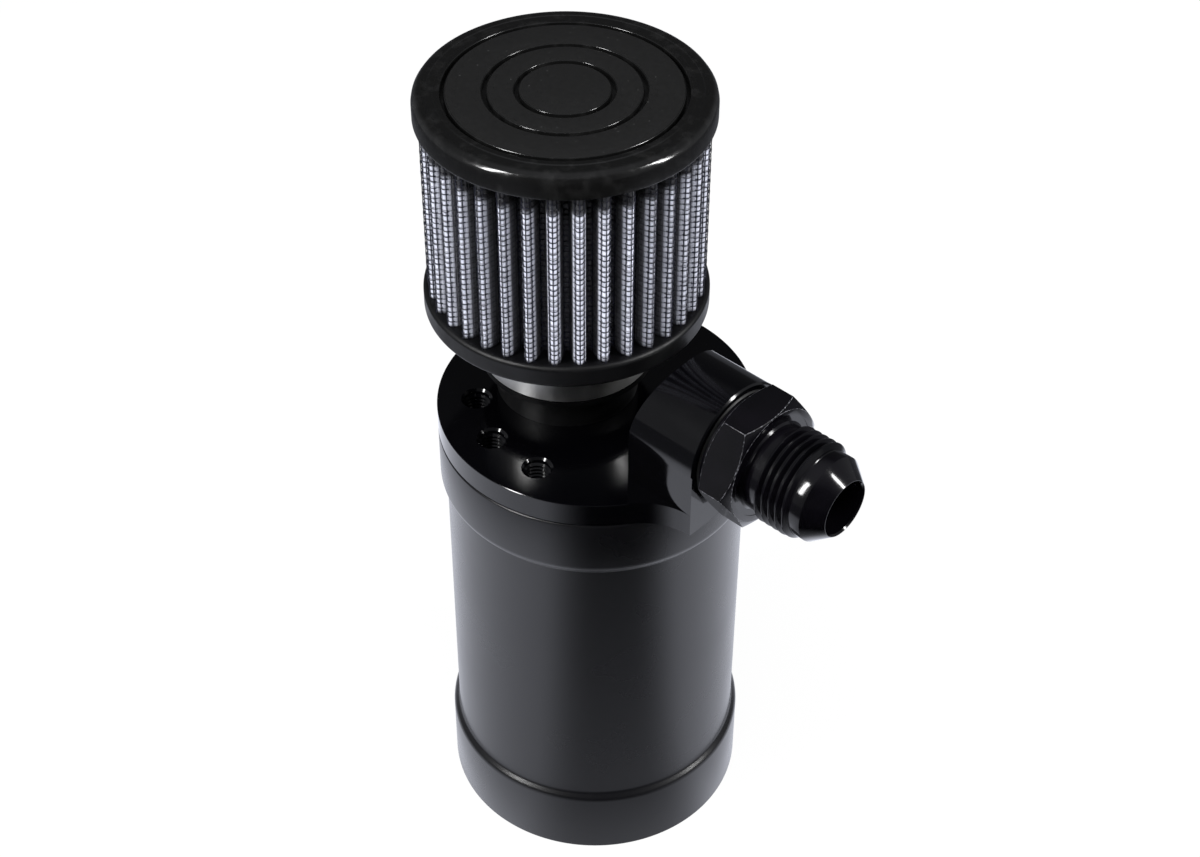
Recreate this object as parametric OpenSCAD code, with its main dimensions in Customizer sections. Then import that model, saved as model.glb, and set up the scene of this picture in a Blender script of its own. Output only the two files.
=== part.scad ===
// Oil catch can with a clamped breather filter.
// Origin at the middle of the can's foot, +Z up, +X towards the inlet fitting.

/* [Can body] */
// Height of the can from its foot to its rim
body_h = 109.5; // [90:0.5:140]
// Outer diameter of the bands at foot and rim, and of the lid
band_d = 71; // [69:0.5:80]
// Depth of the waist below the bands, on the radius
waist_inset = 1.4; // [1:0.1:2]
// Height of the foot band
foot_band_h = 17.6; // [8:0.1:30]
// Height of the rim band
rim_band_h = 13.6; // [12:0.1:24]
// Height of the slope from a band down to the waist
band_slope = 1.3; // [0.6:0.1:4]
// Thickness of the can's floor
floor_t = 4; // [2:0.5:8]
// Wall of the can between the bands
can_wall = 2.5; // [2:0.1:4]
// Wall of the can around the threaded mouth
mouth_wall = 2.5; // [2:0.1:3]
// Depth of the threaded mouth
mouth_depth = 14; // [13.5:0.1:15.5]
// Chamfer on the outer edges of can and lid
edge_chamfer = 0.4; // [0.2:0.1:0.8]

/* [Lid] */
// Thickness of the lid's disc
lid_t = 5.8; // [4:0.1:9]
// Gap between the can's rim and the lid
seam_gap = 0.3; // [0.1:0.1:0.6]
// Gap between the lid's neck and the can's mouth, on the radius
neck_gap = 0.3; // [0.2:0.05:0.6]
// Length of the lid's neck inside the can
neck_h = 12.5; // [10:0.5:13]
// Wall of the neck around the pocket in the underside of the lid
neck_wall = 10.7; // [9.7:0.1:12.7]
// Section of the lid's sealing ring
seal_section = 1.5; // [1:0.1:1.8]

/* [Inlet boss] */
// How far the boss's end face stands out from the can
boss_reach = 5.3; // [3.5:0.1:10]
// Width of the boss
boss_w = 29.2; // [28:0.1:32]
// Height of the inlet's axis above the lid's top
inlet_h = 10.75; // [9:0.05:14]
// Room around the filter's foot where the boss is cut away
scoop_gap = 3.8; // [2:0.1:5]
// Height of the flow slot's top above the lid's top
slot_top = 10; // [6:0.5:10]
// Radial width of the flow slot from the inlet down into the can
slot_w = 3.1; // [2:0.1:3.3]
// Angle that the flow slot spans
slot_angle = 40; // [20:1:44]

/* [Lid holes] */
// Diameter of the threaded holes in the lid's top
tapped_d = 6; // [5:0.1:6.4]
// Depth of the threaded holes, with the tap drill's hole in the neck
tapped_depth = 10; // [8:0.5:14]
// Diameter of the tap drill's hole below the thread
tap_drill_d = 5; // [4:0.1:5.4]
// Diameter of the countersink at the holes' mouths
tapped_mouth_d = 7; // [6.6:0.1:8]
// Distance of the threaded holes from the lid's edge
tapped_inset = 8.9; // [8.1:0.1:9.5]
// Direction of the middle threaded hole, from the inlet
tapped_az = -105.7; // [-108:0.1:-104]
// Angle from one threaded hole to the next
tapped_step = 30.2; // [20:0.1:32]

/* [Inlet fitting] */
// Major diameter of the fitting's thread on both ends
thread_d = 22.2; // [20:0.1:22.4]
// Width of the hexagon across its flats
hex_af = 27; // [25:0.5:30]
// Turn of the hexagon about the inlet's axis as it was tightened
hex_turn = 2.2; // [-30:0.1:30]
// Length of the hexagon
hex_len = 8.3; // [6:0.1:12]
// Gap between the boss and the hexagon's washer face
hex_gap = 0.5; // [0.2:0.1:0.8]
// Length of the free end from the hexagon to the tip
free_len = 19.2; // [16:0.1:24]
// Diameter of the plain nose behind the cone
nose_d = 19.8; // [18.5:0.1:19.9]
// Length of the plain nose behind the cone
nose_len = 4.4; // [3:0.1:6]
// Diameter of the cone's tip
tip_d = 13.6; // [13:0.1:15]
// Half angle of the sealing cone
cone_angle = 37; // [30:0.5:45]
// Bore of the fitting
fitting_bore_d = 12.4; // [10:0.1:12.6]
// Length of the threaded stub in the boss
stub_len = 11; // [8:0.1:12]
// Width of the undercuts beside the threads
undercut_w = 2; // [1:0.1:3]
// Depth of the undercuts beside the threads
undercut_depth = 1.3; // [0.6:0.1:1.6]
// Clearance of the stub in the boss, on the radius
port_gap = 0.1; // [0.05:0.05:0.3]
// Section of the fitting's sealing ring
port_seal_section = 1.8; // [1.2:0.1:1.8]

/* [Breather filter] */
// Distance of the filter's axis from the can's axis, away from the inlet
filter_off = 8.7; // [6:0.1:9]
// Outer diameter of the lid's spigot
spigot_d = 31.8; // [30:0.1:34]
// Wall of the lid's spigot
spigot_wall = 3.2; // [2:0.1:5]
// Height of the filter's sleeve above the lid
sleeve_lift = 8.4; // [4:0.1:9]
// Wall of the rubber sleeve under the clamp band
sleeve_wall = 2.45; // [2:0.05:3]
// How far the lip at the sleeve's lower end stands out
sleeve_lip = 0.8; // [0.6:0.1:1.6]
// Height of the filter's base ring above the lid
base_lift = 24; // [23.4:0.1:30]
// Outer diameter of the filter's base ring
base_d = 62.2; // [61.6:0.1:66]
// Thickness of the filter's base ring
base_t = 5.2; // [4:0.1:8]
// Rounding of the base ring's edges
base_round = 1; // [0.4:0.1:1.8]
// Free height of the pleats between base ring and cap
pleat_h = 42.5; // [30:0.5:60]
// Number of pleats
pleat_count = 35; // [24:1:40]
// Radius of the pleats' crests
crest_r = 29.9; // [29:0.1:30.4]
// Radius of the pleats' valleys
valley_r = 25.2; // [24.6:0.1:26.5]
// Thickness of the filter gauze
gauze_t = 0.7; // [0.4:0.05:0.7]
// Thickness of the wire mesh
mesh_t = 0.4; // [0.2:0.05:0.45]
// Outer diameter of the cage inside the pleats
cage_d = 47; // [44:0.5:47]
// Wall of the cage
cage_wall = 0.6; // [0.4:0.1:1.2]

/* [Filter cap] */
// Outer diameter of the cap
cap_d = 62.8; // [62:0.1:68]
// Thickness of the cap at its rim
cap_t = 5.7; // [4:0.1:9]
// Rounding of the cap's upper edge
cap_round = 1.6; // [0.5:0.1:2.2]
// Diameter of the plate set into the cap
disc_d = 49.9; // [44:0.1:52]
// Thickness of the plate set into the cap
disc_t = 2.2; // [1.4:0.1:3]
// Width of the groove around the plate
disc_gap = 0.5; // [0.3:0.1:1]
// Diameter of the outer groove in the plate
groove_outer_d = 33; // [28:0.1:38]
// Diameter of the inner groove in the plate
groove_inner_d = 19.9; // [14:0.1:24]
// Width of the grooves in the plate
groove_w = 1; // [0.6:0.1:1.6]
// Depth of the grooves in the plate
groove_depth = 0.5; // [0.2:0.1:1]

/* [Hose clamp] */
// Thickness of the clamp's band
clamp_t = 0.8; // [0.5:0.1:1.2]
// Width of the clamp's band
clamp_w = 12.7; // [9:0.1:12.8]
// Height of the band's lower edge above the sleeve's lower edge
clamp_lift = 1.6; // [1.5:0.1:2.4]
// Direction of the clamp's housing, from the inlet
clamp_az = 135; // [110:5:160]
// Length of the clamp's housing
housing_len = 13; // [10:0.5:18]
// Diameter of the clamp's housing
housing_d = 9.4; // [9.2:0.1:10.5]
// Diameter of the clamp's screw
clamp_screw_d = 6.6; // [5:0.1:7]
// Clearance of the clamp's screw in its housing, on the radius
clamp_screw_gap = 0.3; // [0.2:0.05:0.4]
// Width of the clamp screw's head across its flats
clamp_head_af = 7; // [6:0.1:8]
// Length of the clamp screw's head
clamp_head_len = 4.5; // [3:0.1:6]

/* [Baffle] */
// Gap between the baffle plate and the can's wall
baffle_gap = 1.6; // [0.6:0.1:4.6]
// Thickness of the baffle plate
baffle_t = 2; // [1:0.1:4]
// Length of the posts that carry the baffle
post_len = 27; // [20:0.5:40]
// Diameter of the posts
post_d = 6; // [5:0.1:8]
// Distance of the posts' axes from the can's wall
post_inset = 5.6; // [4.8:0.1:6.4]
// Thickness of the wire wool pad above the baffle
pad_t = 12; // [6:0.5:18]
// Gap between the wire wool pad and the can's wall
pad_gap = 2.1; // [1.6:0.1:3.6]
// Thickness of the screen above the pad
screen_t = 1; // [0.6:0.1:2]
// Clearance of the posts in the pad and the screen, on the radius
post_gap = 0.2; // [0.1:0.05:0.5]
// Diameter of the holes in the baffle
drip_hole_d = 5; // [3:0.5:7]
// Holes in the outer ring of the baffle
drip_count = 12; // [6:1:14]
// Diameter of the baffle's screws
baffle_screw_d = 4; // [3:0.5:4]
// Diameter of the heads of the baffle's screws
baffle_head_d = 7.6; // [6:0.1:8]
// Thickness of the heads of the baffle's screws
baffle_head_t = 2.2; // [1.5:0.1:3]
// Length of the baffle's screws in the posts
baffle_screw_len = 8; // [5:0.5:12]

/* [Hidden] */
$fn = 96;
eps = 0.05;
fit_gap = 0.05;
band_r = band_d / 2;
waist_r = band_r - waist_inset;
bore_r = waist_r - can_wall;
mouth_r = band_r - mouth_wall;
lid_z = body_h + seam_gap;
lid_top = lid_z + lid_t;
neck_r = mouth_r - neck_gap;
pocket_r = neck_r - neck_wall;
neck_z = lid_z - neck_h;
seal_r = neck_r - seal_section / 2;
seal_z = lid_z - 1 - seal_section / 2;
groove_gap = 0.2;
boss_hw = boss_w / 2;
boss_end = band_r + boss_reach;
inlet_z = lid_top + inlet_h;
fillet_r = (pow(boss_end, 2) + pow(boss_hw, 2) - pow(band_r, 2)) / (2 * (band_r - boss_hw));
fillet_y = boss_hw + fillet_r;
fillet_az = atan2(fillet_y, boss_end);
scoop_r = base_d / 2 + scoop_gap;
scoop_x = scoop_r - filter_off;
port_r = thread_d / 2 + port_gap;
port_floor_gap = 1.2;
port_x = boss_end - stub_len - port_floor_gap;
slot_wall = 0.8;
slot_r1 = seal_r - seal_section / 2 - groove_gap - slot_wall;
slot_r0 = slot_r1 - slot_w;
spot_depth = port_seal_section + 0.2;
port_seal_r = thread_d / 2 + port_seal_section / 2 + 0.15;
spot_r = port_seal_r + port_seal_section / 2 + 0.15;
hex_x = boss_end + hex_gap + 0.8;
free_x = hex_x + hex_len;
tip_x = free_x + free_len;
cone_len = (nose_d - tip_d) / 2 / tan(cone_angle);
cone_x = tip_x - cone_len;
nose_x = cone_x - nose_len;
sleeve_z = lid_top + sleeve_lift;
base_z = lid_top + base_lift;
pleat_z = base_z + base_t;
cap_z = pleat_z + pleat_h;
cap_top = cap_z + cap_t;
clamp_z = sleeve_z + clamp_lift;
spigot_r = spigot_d / 2;
spigot_z = lid_z + 2;
spigot_top = lid_top + base_lift + base_t / 2;
clamp_r = spigot_r + fit_gap + sleeve_wall;
tapped_r = band_r - tapped_inset;
housing_r = clamp_r + clamp_t + housing_d / 2;
post_z = neck_z - post_len;
post_r = bore_r - post_inset;
baffle_r = bore_r - baffle_gap;
pad_r = bore_r - pad_gap;
post_angles = [90, 210, 330];
pad_z = post_z + pad_t;

// Ring of a rectangular section, from radius r0 to r1 and from z0 to z1.
module ring(r0, r1, z0, z1) {
    rotate_extrude()
        translate([r0, z0])
            square([r1 - r0, z1 - z0]);
}

// Rod along +X from x0 to x1.
module xrod(r, x0, x1, n = 96) {
    translate([x0, 0, 0])
        rotate([0, 90, 0])
            cylinder(r = r, h = x1 - x0, $fn = n);
}

module can_body() {
    color("dimgray")
        rotate_extrude()
            polygon([
                [0, 0],
                [band_r - edge_chamfer, 0],
                [band_r, edge_chamfer],
                [band_r, foot_band_h],
                [waist_r, foot_band_h + band_slope],
                [waist_r, body_h - rim_band_h - band_slope],
                [band_r, body_h - rim_band_h],
                [band_r, body_h - edge_chamfer / 2],
                [band_r - edge_chamfer / 2, body_h],
                [mouth_r, body_h],
                [mouth_r, body_h - mouth_depth],
                [bore_r, body_h - mouth_depth - 1],
                [bore_r, floor_t + 2],
                [bore_r - 2, floor_t],
                [0, floor_t]
            ]);
}

// Plan of the lid's flares, between its round edge and the end face of the boss.
module lid_flare() {
    difference() {
        polygon([
            [0, 0],
            [band_r * cos(fillet_az), -band_r * sin(fillet_az)],
            [boss_end, -fillet_y],
            [boss_end, fillet_y],
            [band_r * cos(fillet_az), band_r * sin(fillet_az)]
        ]);
        circle(r = band_r - 1);
        translate([boss_end, fillet_y])
            circle(r = fillet_r);
        translate([boss_end, -fillet_y])
            circle(r = fillet_r);
    }
}

module lid_disc() {
    rotate_extrude()
        polygon([
            [0, lid_z],
            [band_r - edge_chamfer / 2, lid_z],
            [band_r, lid_z + edge_chamfer / 2],
            [band_r, lid_top - edge_chamfer],
            [band_r - edge_chamfer, lid_top],
            [0, lid_top]
        ]);
    translate([0, 0, lid_z])
        linear_extrude(lid_t)
            lid_flare();
}

// The slot that lets the gases fall from the inlet's port into the can, through lid and neck.
module flow_slot() {
    intersection() {
        ring(slot_r0, slot_r1, neck_z - 1, lid_top + slot_top);
        linear_extrude(lid_top + slot_top + 1)
            polygon([
                [0, 0],
                [band_d, -band_d * tan(slot_angle / 2)],
                [band_d, band_d * tan(slot_angle / 2)]
            ]);
    }
}

// Cuts of the inlet's port and of the spot face around it.
module inlet_port() {
    translate([0, 0, inlet_z])
        xrod(port_r, port_x, boss_end + 1);
    translate([0, 0, inlet_z])
        xrod(spot_r, boss_end - spot_depth, boss_end + 1);
}

module lid_holes() {
    for (s = [-1, 0, 1])
        rotate([0, 0, tapped_az + s * tapped_step])
            translate([tapped_r, 0, 0]) {
                translate([0, 0, lid_z - 1])
                    cylinder(r = tapped_d / 2, h = lid_t + 2);
                translate([0, 0, lid_top - (tapped_mouth_d - tapped_d) / 2])
                    cylinder(r1 = tapped_d / 2, r2 = tapped_mouth_d / 2 + 0.5,
                        h = (tapped_mouth_d - tapped_d) / 2 + 0.5);
            }
}

module lid() {
    color("darkslategray")
        difference() {
            lid_disc();
            translate([-filter_off, 0, spigot_z])
                cylinder(r = spigot_r + fit_gap, h = lid_t);
            translate([-filter_off, 0, lid_z - 1])
                cylinder(r = spigot_r - spigot_wall, h = lid_t);
            inlet_port();
            flow_slot();
            lid_holes();
        }
}

// One piece of metal with the lid. It is a solid of its own so that the room under the filter stays open.
module lid_boss() {
    color("darkslategray")
        difference() {
            union() {
                translate([0, 0, inlet_z])
                    rotate([0, 90, 0])
                        rotate_extrude()
                            polygon([
                                [0, 0],
                                [boss_hw, 0],
                                [boss_hw, boss_end - edge_chamfer],
                                [boss_hw - edge_chamfer, boss_end],
                                [0, boss_end]
                            ]);
                translate([0, -boss_hw, lid_top])
                    cube([boss_end, boss_w, inlet_h]);
            }
            translate([-1, -boss_w, lid_top - boss_w])
                cube([boss_end + 2, 2 * boss_w, boss_w]);
            translate([-filter_off, 0, lid_top - 1])
                cylinder(r = scoop_r, h = inlet_h + boss_w + 1);
            inlet_port();
            flow_slot();
        }
}

// One piece of metal with the lid. It is a solid of its own so that its pocket stays open in collision.
module lid_neck() {
    color("darkslategray")
        difference() {
            ring(pocket_r, neck_r, neck_z, lid_z);
            ring(seal_r - seal_section / 2 - groove_gap, neck_r + 1, lid_z - 1 - seal_section - groove_gap,
                lid_z - 1 + groove_gap);
            flow_slot();
            for (s = [-1, 0, 1])
                rotate([0, 0, tapped_az + s * tapped_step])
                    translate([tapped_r, 0, lid_top - tapped_depth])
                        cylinder(r = tap_drill_d / 2, h = tapped_depth);
            for (a = post_angles)
                rotate([0, 0, a])
                    translate([post_r, 0, neck_z - 1])
                        cylinder(r = baffle_screw_d / 2 + fit_gap, h = 7);
        }
}

module lid_spigot() {
    color("silver")
        translate([-filter_off, 0, 0])
            ring(spigot_r - spigot_wall, spigot_r, spigot_z, spigot_top);
}

module lid_seal() {
    color("black")
        rotate_extrude()
            translate([seal_r, seal_z])
                circle(r = seal_section / 2);
}

// Turned shape of the fitting along its own axis, without the hexagon's flats.
module fitting_profile() {
    r = thread_d / 2;
    bore_r = fitting_bore_d / 2;
    polygon([
        [bore_r, boss_end - stub_len],
        [r - 0.8, boss_end - stub_len],
        [r, boss_end - stub_len + 0.8],
        [r, boss_end - spot_depth],
        [r - 0.1, boss_end - spot_depth],
        [r - 0.1, boss_end + hex_gap],
        [hex_af / 2 - 0.6, boss_end + hex_gap],
        [hex_af / 2 - 0.6, hex_x + eps],
        [hex_af / 2 - 1, hex_x + eps],
        [hex_af / 2 - 1, free_x - eps],
        [r - undercut_depth, free_x - eps],
        [r - undercut_depth, free_x + undercut_w - 0.6],
        [r, free_x + undercut_w],
        [r, nose_x - 1],
        [nose_d / 2, nose_x],
        [nose_d / 2, cone_x],
        [tip_d / 2, tip_x - 0.2],
        [tip_d / 2 - 0.2, tip_x],
        [bore_r, tip_x]
    ]);
}

module inlet_fitting() {
    hex_r = hex_af / 2 / cos(30);
    hex_cut = (hex_r - hex_af / 2) * tan(30) + 0.1;
    translate([0, 0, inlet_z])
        color("midnightblue")
            union() {
                rotate([0, 90, 0])
                    rotate_extrude()
                        fitting_profile();
                difference() {
                    intersection() {
                        rotate([hex_turn - 30, 0, 0])
                            xrod(hex_r, hex_x, free_x, 6);
                        rotate([0, 90, 0])
                            rotate_extrude()
                                polygon([
                                    [0, hex_x],
                                    [hex_af / 2 - 0.2, hex_x],
                                    [hex_r + 0.1, hex_x + hex_cut],
                                    [hex_r + 0.1, free_x - hex_cut],
                                    [hex_af / 2 - 0.2, free_x],
                                    [0, free_x]
                                ]);
                    }
                    xrod(fitting_bore_d / 2 + 1, hex_x - 1, free_x + 1);
                }
            }
}

module inlet_seal() {
    color("black")
        translate([boss_end + hex_gap - port_seal_section / 2, 0, inlet_z])
            rotate([0, 90, 0])
                rotate_extrude()
                    translate([port_seal_r, 0])
                        circle(r = port_seal_section / 2);
}

module filter_base() {
    color("darkslateblue")
        translate([-filter_off, 0, 0])
            difference() {
                rotate_extrude() {
                    union() {
                        translate([spigot_r + fit_gap, sleeve_z])
                            square([sleeve_wall, base_z - sleeve_z + 1]);
                        translate([spigot_r + fit_gap, sleeve_z])
                            square([sleeve_wall + sleeve_lip, clamp_lift - 0.3]);
                        translate([spigot_r + fit_gap, base_z])
                            square([base_d / 2 - base_round - spigot_r - fit_gap, base_t]);
                        translate([base_d / 2 - 3, base_z + base_round])
                            square([3, base_t - 2 * base_round]);
                        for (z = [base_z + base_round, base_z + base_t - base_round])
                            translate([base_d / 2 - base_round, z])
                                circle(r = base_round);
                    }
                }
                translate([0, 0, base_z + base_t / 2])
                    cylinder(r = cage_d / 2 - cage_wall - 1, h = base_t);
            }
}

// Outline of the pleats, shifted outwards by d. ro and ri are the radii of crests and valleys.
function pleat_path(ro, ri, d) =
    let (
        n = pleat_count,
        wc = 1 + d,
        wv = 0.95 - d,
        bend = 0.45
    ) [
        for (i = [0:n - 1], k = [0:5])
            let (
                crest = k < 3,
                j = k % 3 - 1,
                a = (i + (crest ? 0 : 0.5)) * 360 / n,
                r = (crest ? ro - abs(j) * bend : ri + abs(j) * bend) + d,
                w = j * (crest ? wc : wv)
            )
            [r * cos(a) - w * sin(a), r * sin(a) + w * cos(a)]
    ];

// Wall that follows the pleats, from d0 to d1 outside the gauze's outer face.
module pleat_wall(d0, d1) {
    translate([-filter_off, 0, pleat_z])
        linear_extrude(pleat_h)
            difference() {
                polygon(pleat_path(crest_r, valley_r, d1));
                polygon(pleat_path(crest_r, valley_r, d0));
            }
}

module filter_gauze() {
    color("gainsboro")
        pleat_wall(-gauze_t, 0);
}

module filter_mesh() {
    color("silver")
        pleat_wall(0.02, mesh_t + 0.02);
}

module filter_inner_mesh() {
    color("silver")
        pleat_wall(-gauze_t - 0.02 - mesh_t / 2, -gauze_t - 0.02);
}

module filter_cage() {
    color("lightsteelblue")
        translate([-filter_off, 0, 0])
            ring(cage_d / 2 - cage_wall, cage_d / 2, pleat_z, cap_z);
}

module filter_cap() {
    color("darkslateblue")
        translate([-filter_off, 0, 0])
            rotate_extrude()
                difference() {
                    union() {
                        translate([0, cap_z])
                            square([cap_d / 2 - cap_round, cap_t]);
                        translate([cap_d / 2 - cap_round - 1, cap_z + 0.8])
                            square([cap_round + 1, cap_t - cap_round - 0.8]);
                        translate([cap_d / 2 - cap_round, cap_top - cap_round])
                            circle(r = cap_round);
                        polygon([
                            [cap_d / 2 - cap_round - 1, cap_z],
                            [cap_d / 2 - 0.8, cap_z],
                            [cap_d / 2, cap_z + 0.8],
                            [cap_d / 2 - cap_round - 1, cap_z + 1]
                        ]);
                    }
                    translate([-1, cap_top - disc_t])
                        square([disc_d / 2 + disc_gap + 1, disc_t + 1]);
                }
}

module filter_plate() {
    color("slategray")
        translate([-filter_off, 0, 0])
            difference() {
                union() {
                    translate([0, 0, cap_top - disc_t])
                        cylinder(r = disc_d / 2, h = disc_t - 0.3);
                    translate([0, 0, cap_top - 0.3])
                        cylinder(r1 = disc_d / 2, r2 = disc_d / 2 - 0.3, h = 0.3);
                }
                for (d = [groove_inner_d, groove_outer_d])
                    ring((d - groove_w) / 2, (d + groove_w) / 2, cap_top - groove_depth, cap_top + 1);
            }
}

module clamp_band() {
    color("white")
        translate([-filter_off, 0, 0])
            ring(clamp_r, clamp_r + clamp_t, clamp_z, clamp_z + clamp_w);
}

// Places its children on the clamp's screw, whose head end points along +X.
module at_clamp() {
    translate([-filter_off, 0, 0])
        rotate([0, 0, clamp_az])
            translate([housing_r, 0, clamp_z + clamp_w / 2])
                rotate([0, 0, 90])
                    children();
}

module clamp_housing() {
    color("lightgray")
        difference() {
            at_clamp()
                union() {
                    xrod(housing_d / 2, -housing_len / 2, housing_len / 2);
                    translate([-housing_len / 2, 0, -clamp_w / 2])
                        cube([housing_len, housing_d / 2 + clamp_t, clamp_w]);
                }
            translate([-filter_off, 0, clamp_z - 1])
                cylinder(r = clamp_r + clamp_t, h = clamp_w + 2);
            at_clamp()
                xrod(clamp_screw_d / 2 + clamp_screw_gap, -housing_len, housing_len);
        }
}

module clamp_screw() {
    hx = housing_len / 2 + 0.4;
    color("gray")
        at_clamp()
            difference() {
                union() {
                    xrod(clamp_screw_d / 2, -housing_len / 2 - 1.5, hx + eps);
                    xrod(clamp_head_af / 2 + 1, hx, hx + 1);
                    xrod(clamp_head_af / 2 / cos(30), hx + 1 - eps, hx + 1 + clamp_head_len, 6);
                }
                translate([hx + clamp_head_len - 0.4, -clamp_head_af, -0.6])
                    cube([2, clamp_head_af * 2, 1.2]);
            }
}

module baffle_posts() {
    color("silver")
        for (a = post_angles)
            rotate([0, 0, a])
                translate([post_r, 0, 0])
                    difference() {
                        union() {
                            translate([0, 0, post_z])
                                cylinder(r = post_d / 2, h = post_len);
                            translate([0, 0, neck_z - eps])
                                cylinder(r = baffle_screw_d / 2, h = 5);
                        }
                        translate([0, 0, post_z - 1])
                            cylinder(r = baffle_screw_d / 2 + fit_gap, h = baffle_screw_len + 2);
                    }
}

module baffle_plate() {
    color("lightgray")
        difference() {
            translate([0, 0, post_z - baffle_t])
                cylinder(r = baffle_r, h = baffle_t);
            for (i = [0:drip_count - 1])
                rotate([0, 0, (i + 0.5) * 360 / drip_count])
                    translate([baffle_r * 0.6, 0, post_z - baffle_t - 1])
                        cylinder(r = drip_hole_d / 2, h = baffle_t + 2);
            for (i = [0:5])
                rotate([0, 0, i * 60])
                    translate([baffle_r * 0.32, 0, post_z - baffle_t - 1])
                        cylinder(r = drip_hole_d / 2, h = baffle_t + 2);
            for (a = post_angles)
                rotate([0, 0, a])
                    translate([post_r, 0, post_z - baffle_t - 1])
                        cylinder(r = baffle_screw_d / 2 + fit_gap, h = baffle_t + 2);
        }
}

module baffle_screws() {
    color("dimgray")
        for (a = post_angles)
            rotate([0, 0, a])
                translate([post_r, 0, post_z - baffle_t])
                    difference() {
                        union() {
                            cylinder(r = baffle_screw_d / 2, h = baffle_screw_len + baffle_t);
                            translate([0, 0, -baffle_head_t])
                                cylinder(r1 = baffle_head_d / 2 - 0.8, r2 = baffle_head_d / 2,
                                    h = baffle_head_t);
                        }
                        translate([0, 0, -baffle_head_t - 1])
                            cylinder(r = 1.25, h = 2.4, $fn = 6);
                    }
}

// Cuts the posts' holes out of a disc of the pad stack.
module pad_disc(z, t) {
    difference() {
        translate([0, 0, z])
            cylinder(r = pad_r, h = t);
        for (a = post_angles)
            rotate([0, 0, a])
                translate([post_r, 0, z - 1])
                    cylinder(r = post_d / 2 + post_gap, h = t + 2);
    }
}

module baffle_pad() {
    color("gold")
        pad_disc(post_z, pad_t);
}

module pad_screen() {
    color("silver")
        difference() {
            pad_disc(pad_z, screen_t);
            for (i = [0:5])
                rotate([0, 0, i * 60 + 30])
                    translate([pad_r / 2, 0, pad_z - 1])
                        cylinder(r = pad_r / 4.5, h = screen_t + 2);
        }
}

can_body();
lid();
lid_boss();
lid_neck();
lid_spigot();
lid_seal();
inlet_fitting();
inlet_seal();
filter_base();
filter_gauze();
filter_mesh();
filter_inner_mesh();
filter_cage();
filter_cap();
filter_plate();
clamp_band();
clamp_housing();
clamp_screw();
baffle_posts();
baffle_plate();
baffle_screws();
baffle_pad();
pad_screen();
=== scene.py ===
import math
import random

import bmesh
import bpy
from mathutils import Matrix, Vector


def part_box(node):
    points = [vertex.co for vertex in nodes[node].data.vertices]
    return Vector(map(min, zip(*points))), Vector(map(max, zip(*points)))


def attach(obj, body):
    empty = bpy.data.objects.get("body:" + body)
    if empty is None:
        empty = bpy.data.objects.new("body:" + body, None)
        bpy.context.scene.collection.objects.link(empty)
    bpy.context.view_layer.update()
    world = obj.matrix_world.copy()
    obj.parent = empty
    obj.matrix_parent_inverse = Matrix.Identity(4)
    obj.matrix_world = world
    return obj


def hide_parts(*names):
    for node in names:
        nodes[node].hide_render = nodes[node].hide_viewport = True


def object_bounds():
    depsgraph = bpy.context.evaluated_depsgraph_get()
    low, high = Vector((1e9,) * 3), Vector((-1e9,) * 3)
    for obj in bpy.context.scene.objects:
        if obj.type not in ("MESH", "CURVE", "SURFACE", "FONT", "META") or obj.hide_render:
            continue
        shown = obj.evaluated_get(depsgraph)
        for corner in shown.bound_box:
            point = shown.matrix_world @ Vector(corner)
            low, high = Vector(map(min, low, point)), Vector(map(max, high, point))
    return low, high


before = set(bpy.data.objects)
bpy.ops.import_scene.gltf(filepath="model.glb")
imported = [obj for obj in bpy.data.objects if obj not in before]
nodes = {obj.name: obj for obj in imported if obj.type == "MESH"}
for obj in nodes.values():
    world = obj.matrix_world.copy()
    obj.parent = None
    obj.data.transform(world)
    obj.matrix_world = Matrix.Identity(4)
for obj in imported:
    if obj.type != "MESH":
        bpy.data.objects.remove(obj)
cad_low, cad_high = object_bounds()
scene = bpy.context.scene
scene.view_settings.view_transform = "Standard"


# Camera. It stands where the photograph was taken, found by fitting the can's edges,
# the filter's rings and the inlet's rings. Angles are in degrees, distances in metres.
CAMERA_AT = Vector((0.25593, -0.27600, 0.44095))
CAMERA_HEADING = 132.694
CAMERA_PITCH = 41.654
CAMERA_ROLL = 0.231
FOCAL_PIXELS = 2223.8
PHOTO_WIDTH = 1200      # pixels
SENSOR = 36             # millimetres

heading, pitch, roll = (math.radians(a) for a in (CAMERA_HEADING, CAMERA_PITCH, CAMERA_ROLL))
heading_flat = Vector((math.cos(heading), math.sin(heading), 0))
look = heading_flat * math.cos(pitch) - Vector((0, 0, math.sin(pitch)))
level_right = look.cross(Vector((0, 0, 1))).normalized()
level_up = level_right.cross(look)
camera_right = level_right * math.cos(roll) + level_up * math.sin(roll)
camera_up = level_up * math.cos(roll) - level_right * math.sin(roll)
camera_data = bpy.data.cameras.new("photo_camera")
camera_data.sensor_width = SENSOR
camera_data.lens = FOCAL_PIXELS / PHOTO_WIDTH * SENSOR
camera_data.clip_start = 0.02
camera_data.clip_end = 50
camera = bpy.data.objects.new("photo_camera", camera_data)
scene.collection.objects.link(camera)
camera.matrix_world = Matrix.Translation(CAMERA_AT) @ Matrix(
    (camera_right, camera_up, -look)).transposed().to_4x4()
scene.camera = camera


# Studio. A white paper floor, a grey room that is lighter at the left and right, and
# three soft boxes: left and right, which glint on the thread and the cap, and high in front.
def linear(code):
    """Linear colour of an sRGB hex code such as 1a2b3c."""
    parts = [int(code[i:i + 2], 16) / 255 for i in (0, 2, 4)]
    return tuple(c / 12.92 if c <= 0.04045 else ((c + 0.055) / 1.055) ** 2.4 for c in parts) + (1,)


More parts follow.
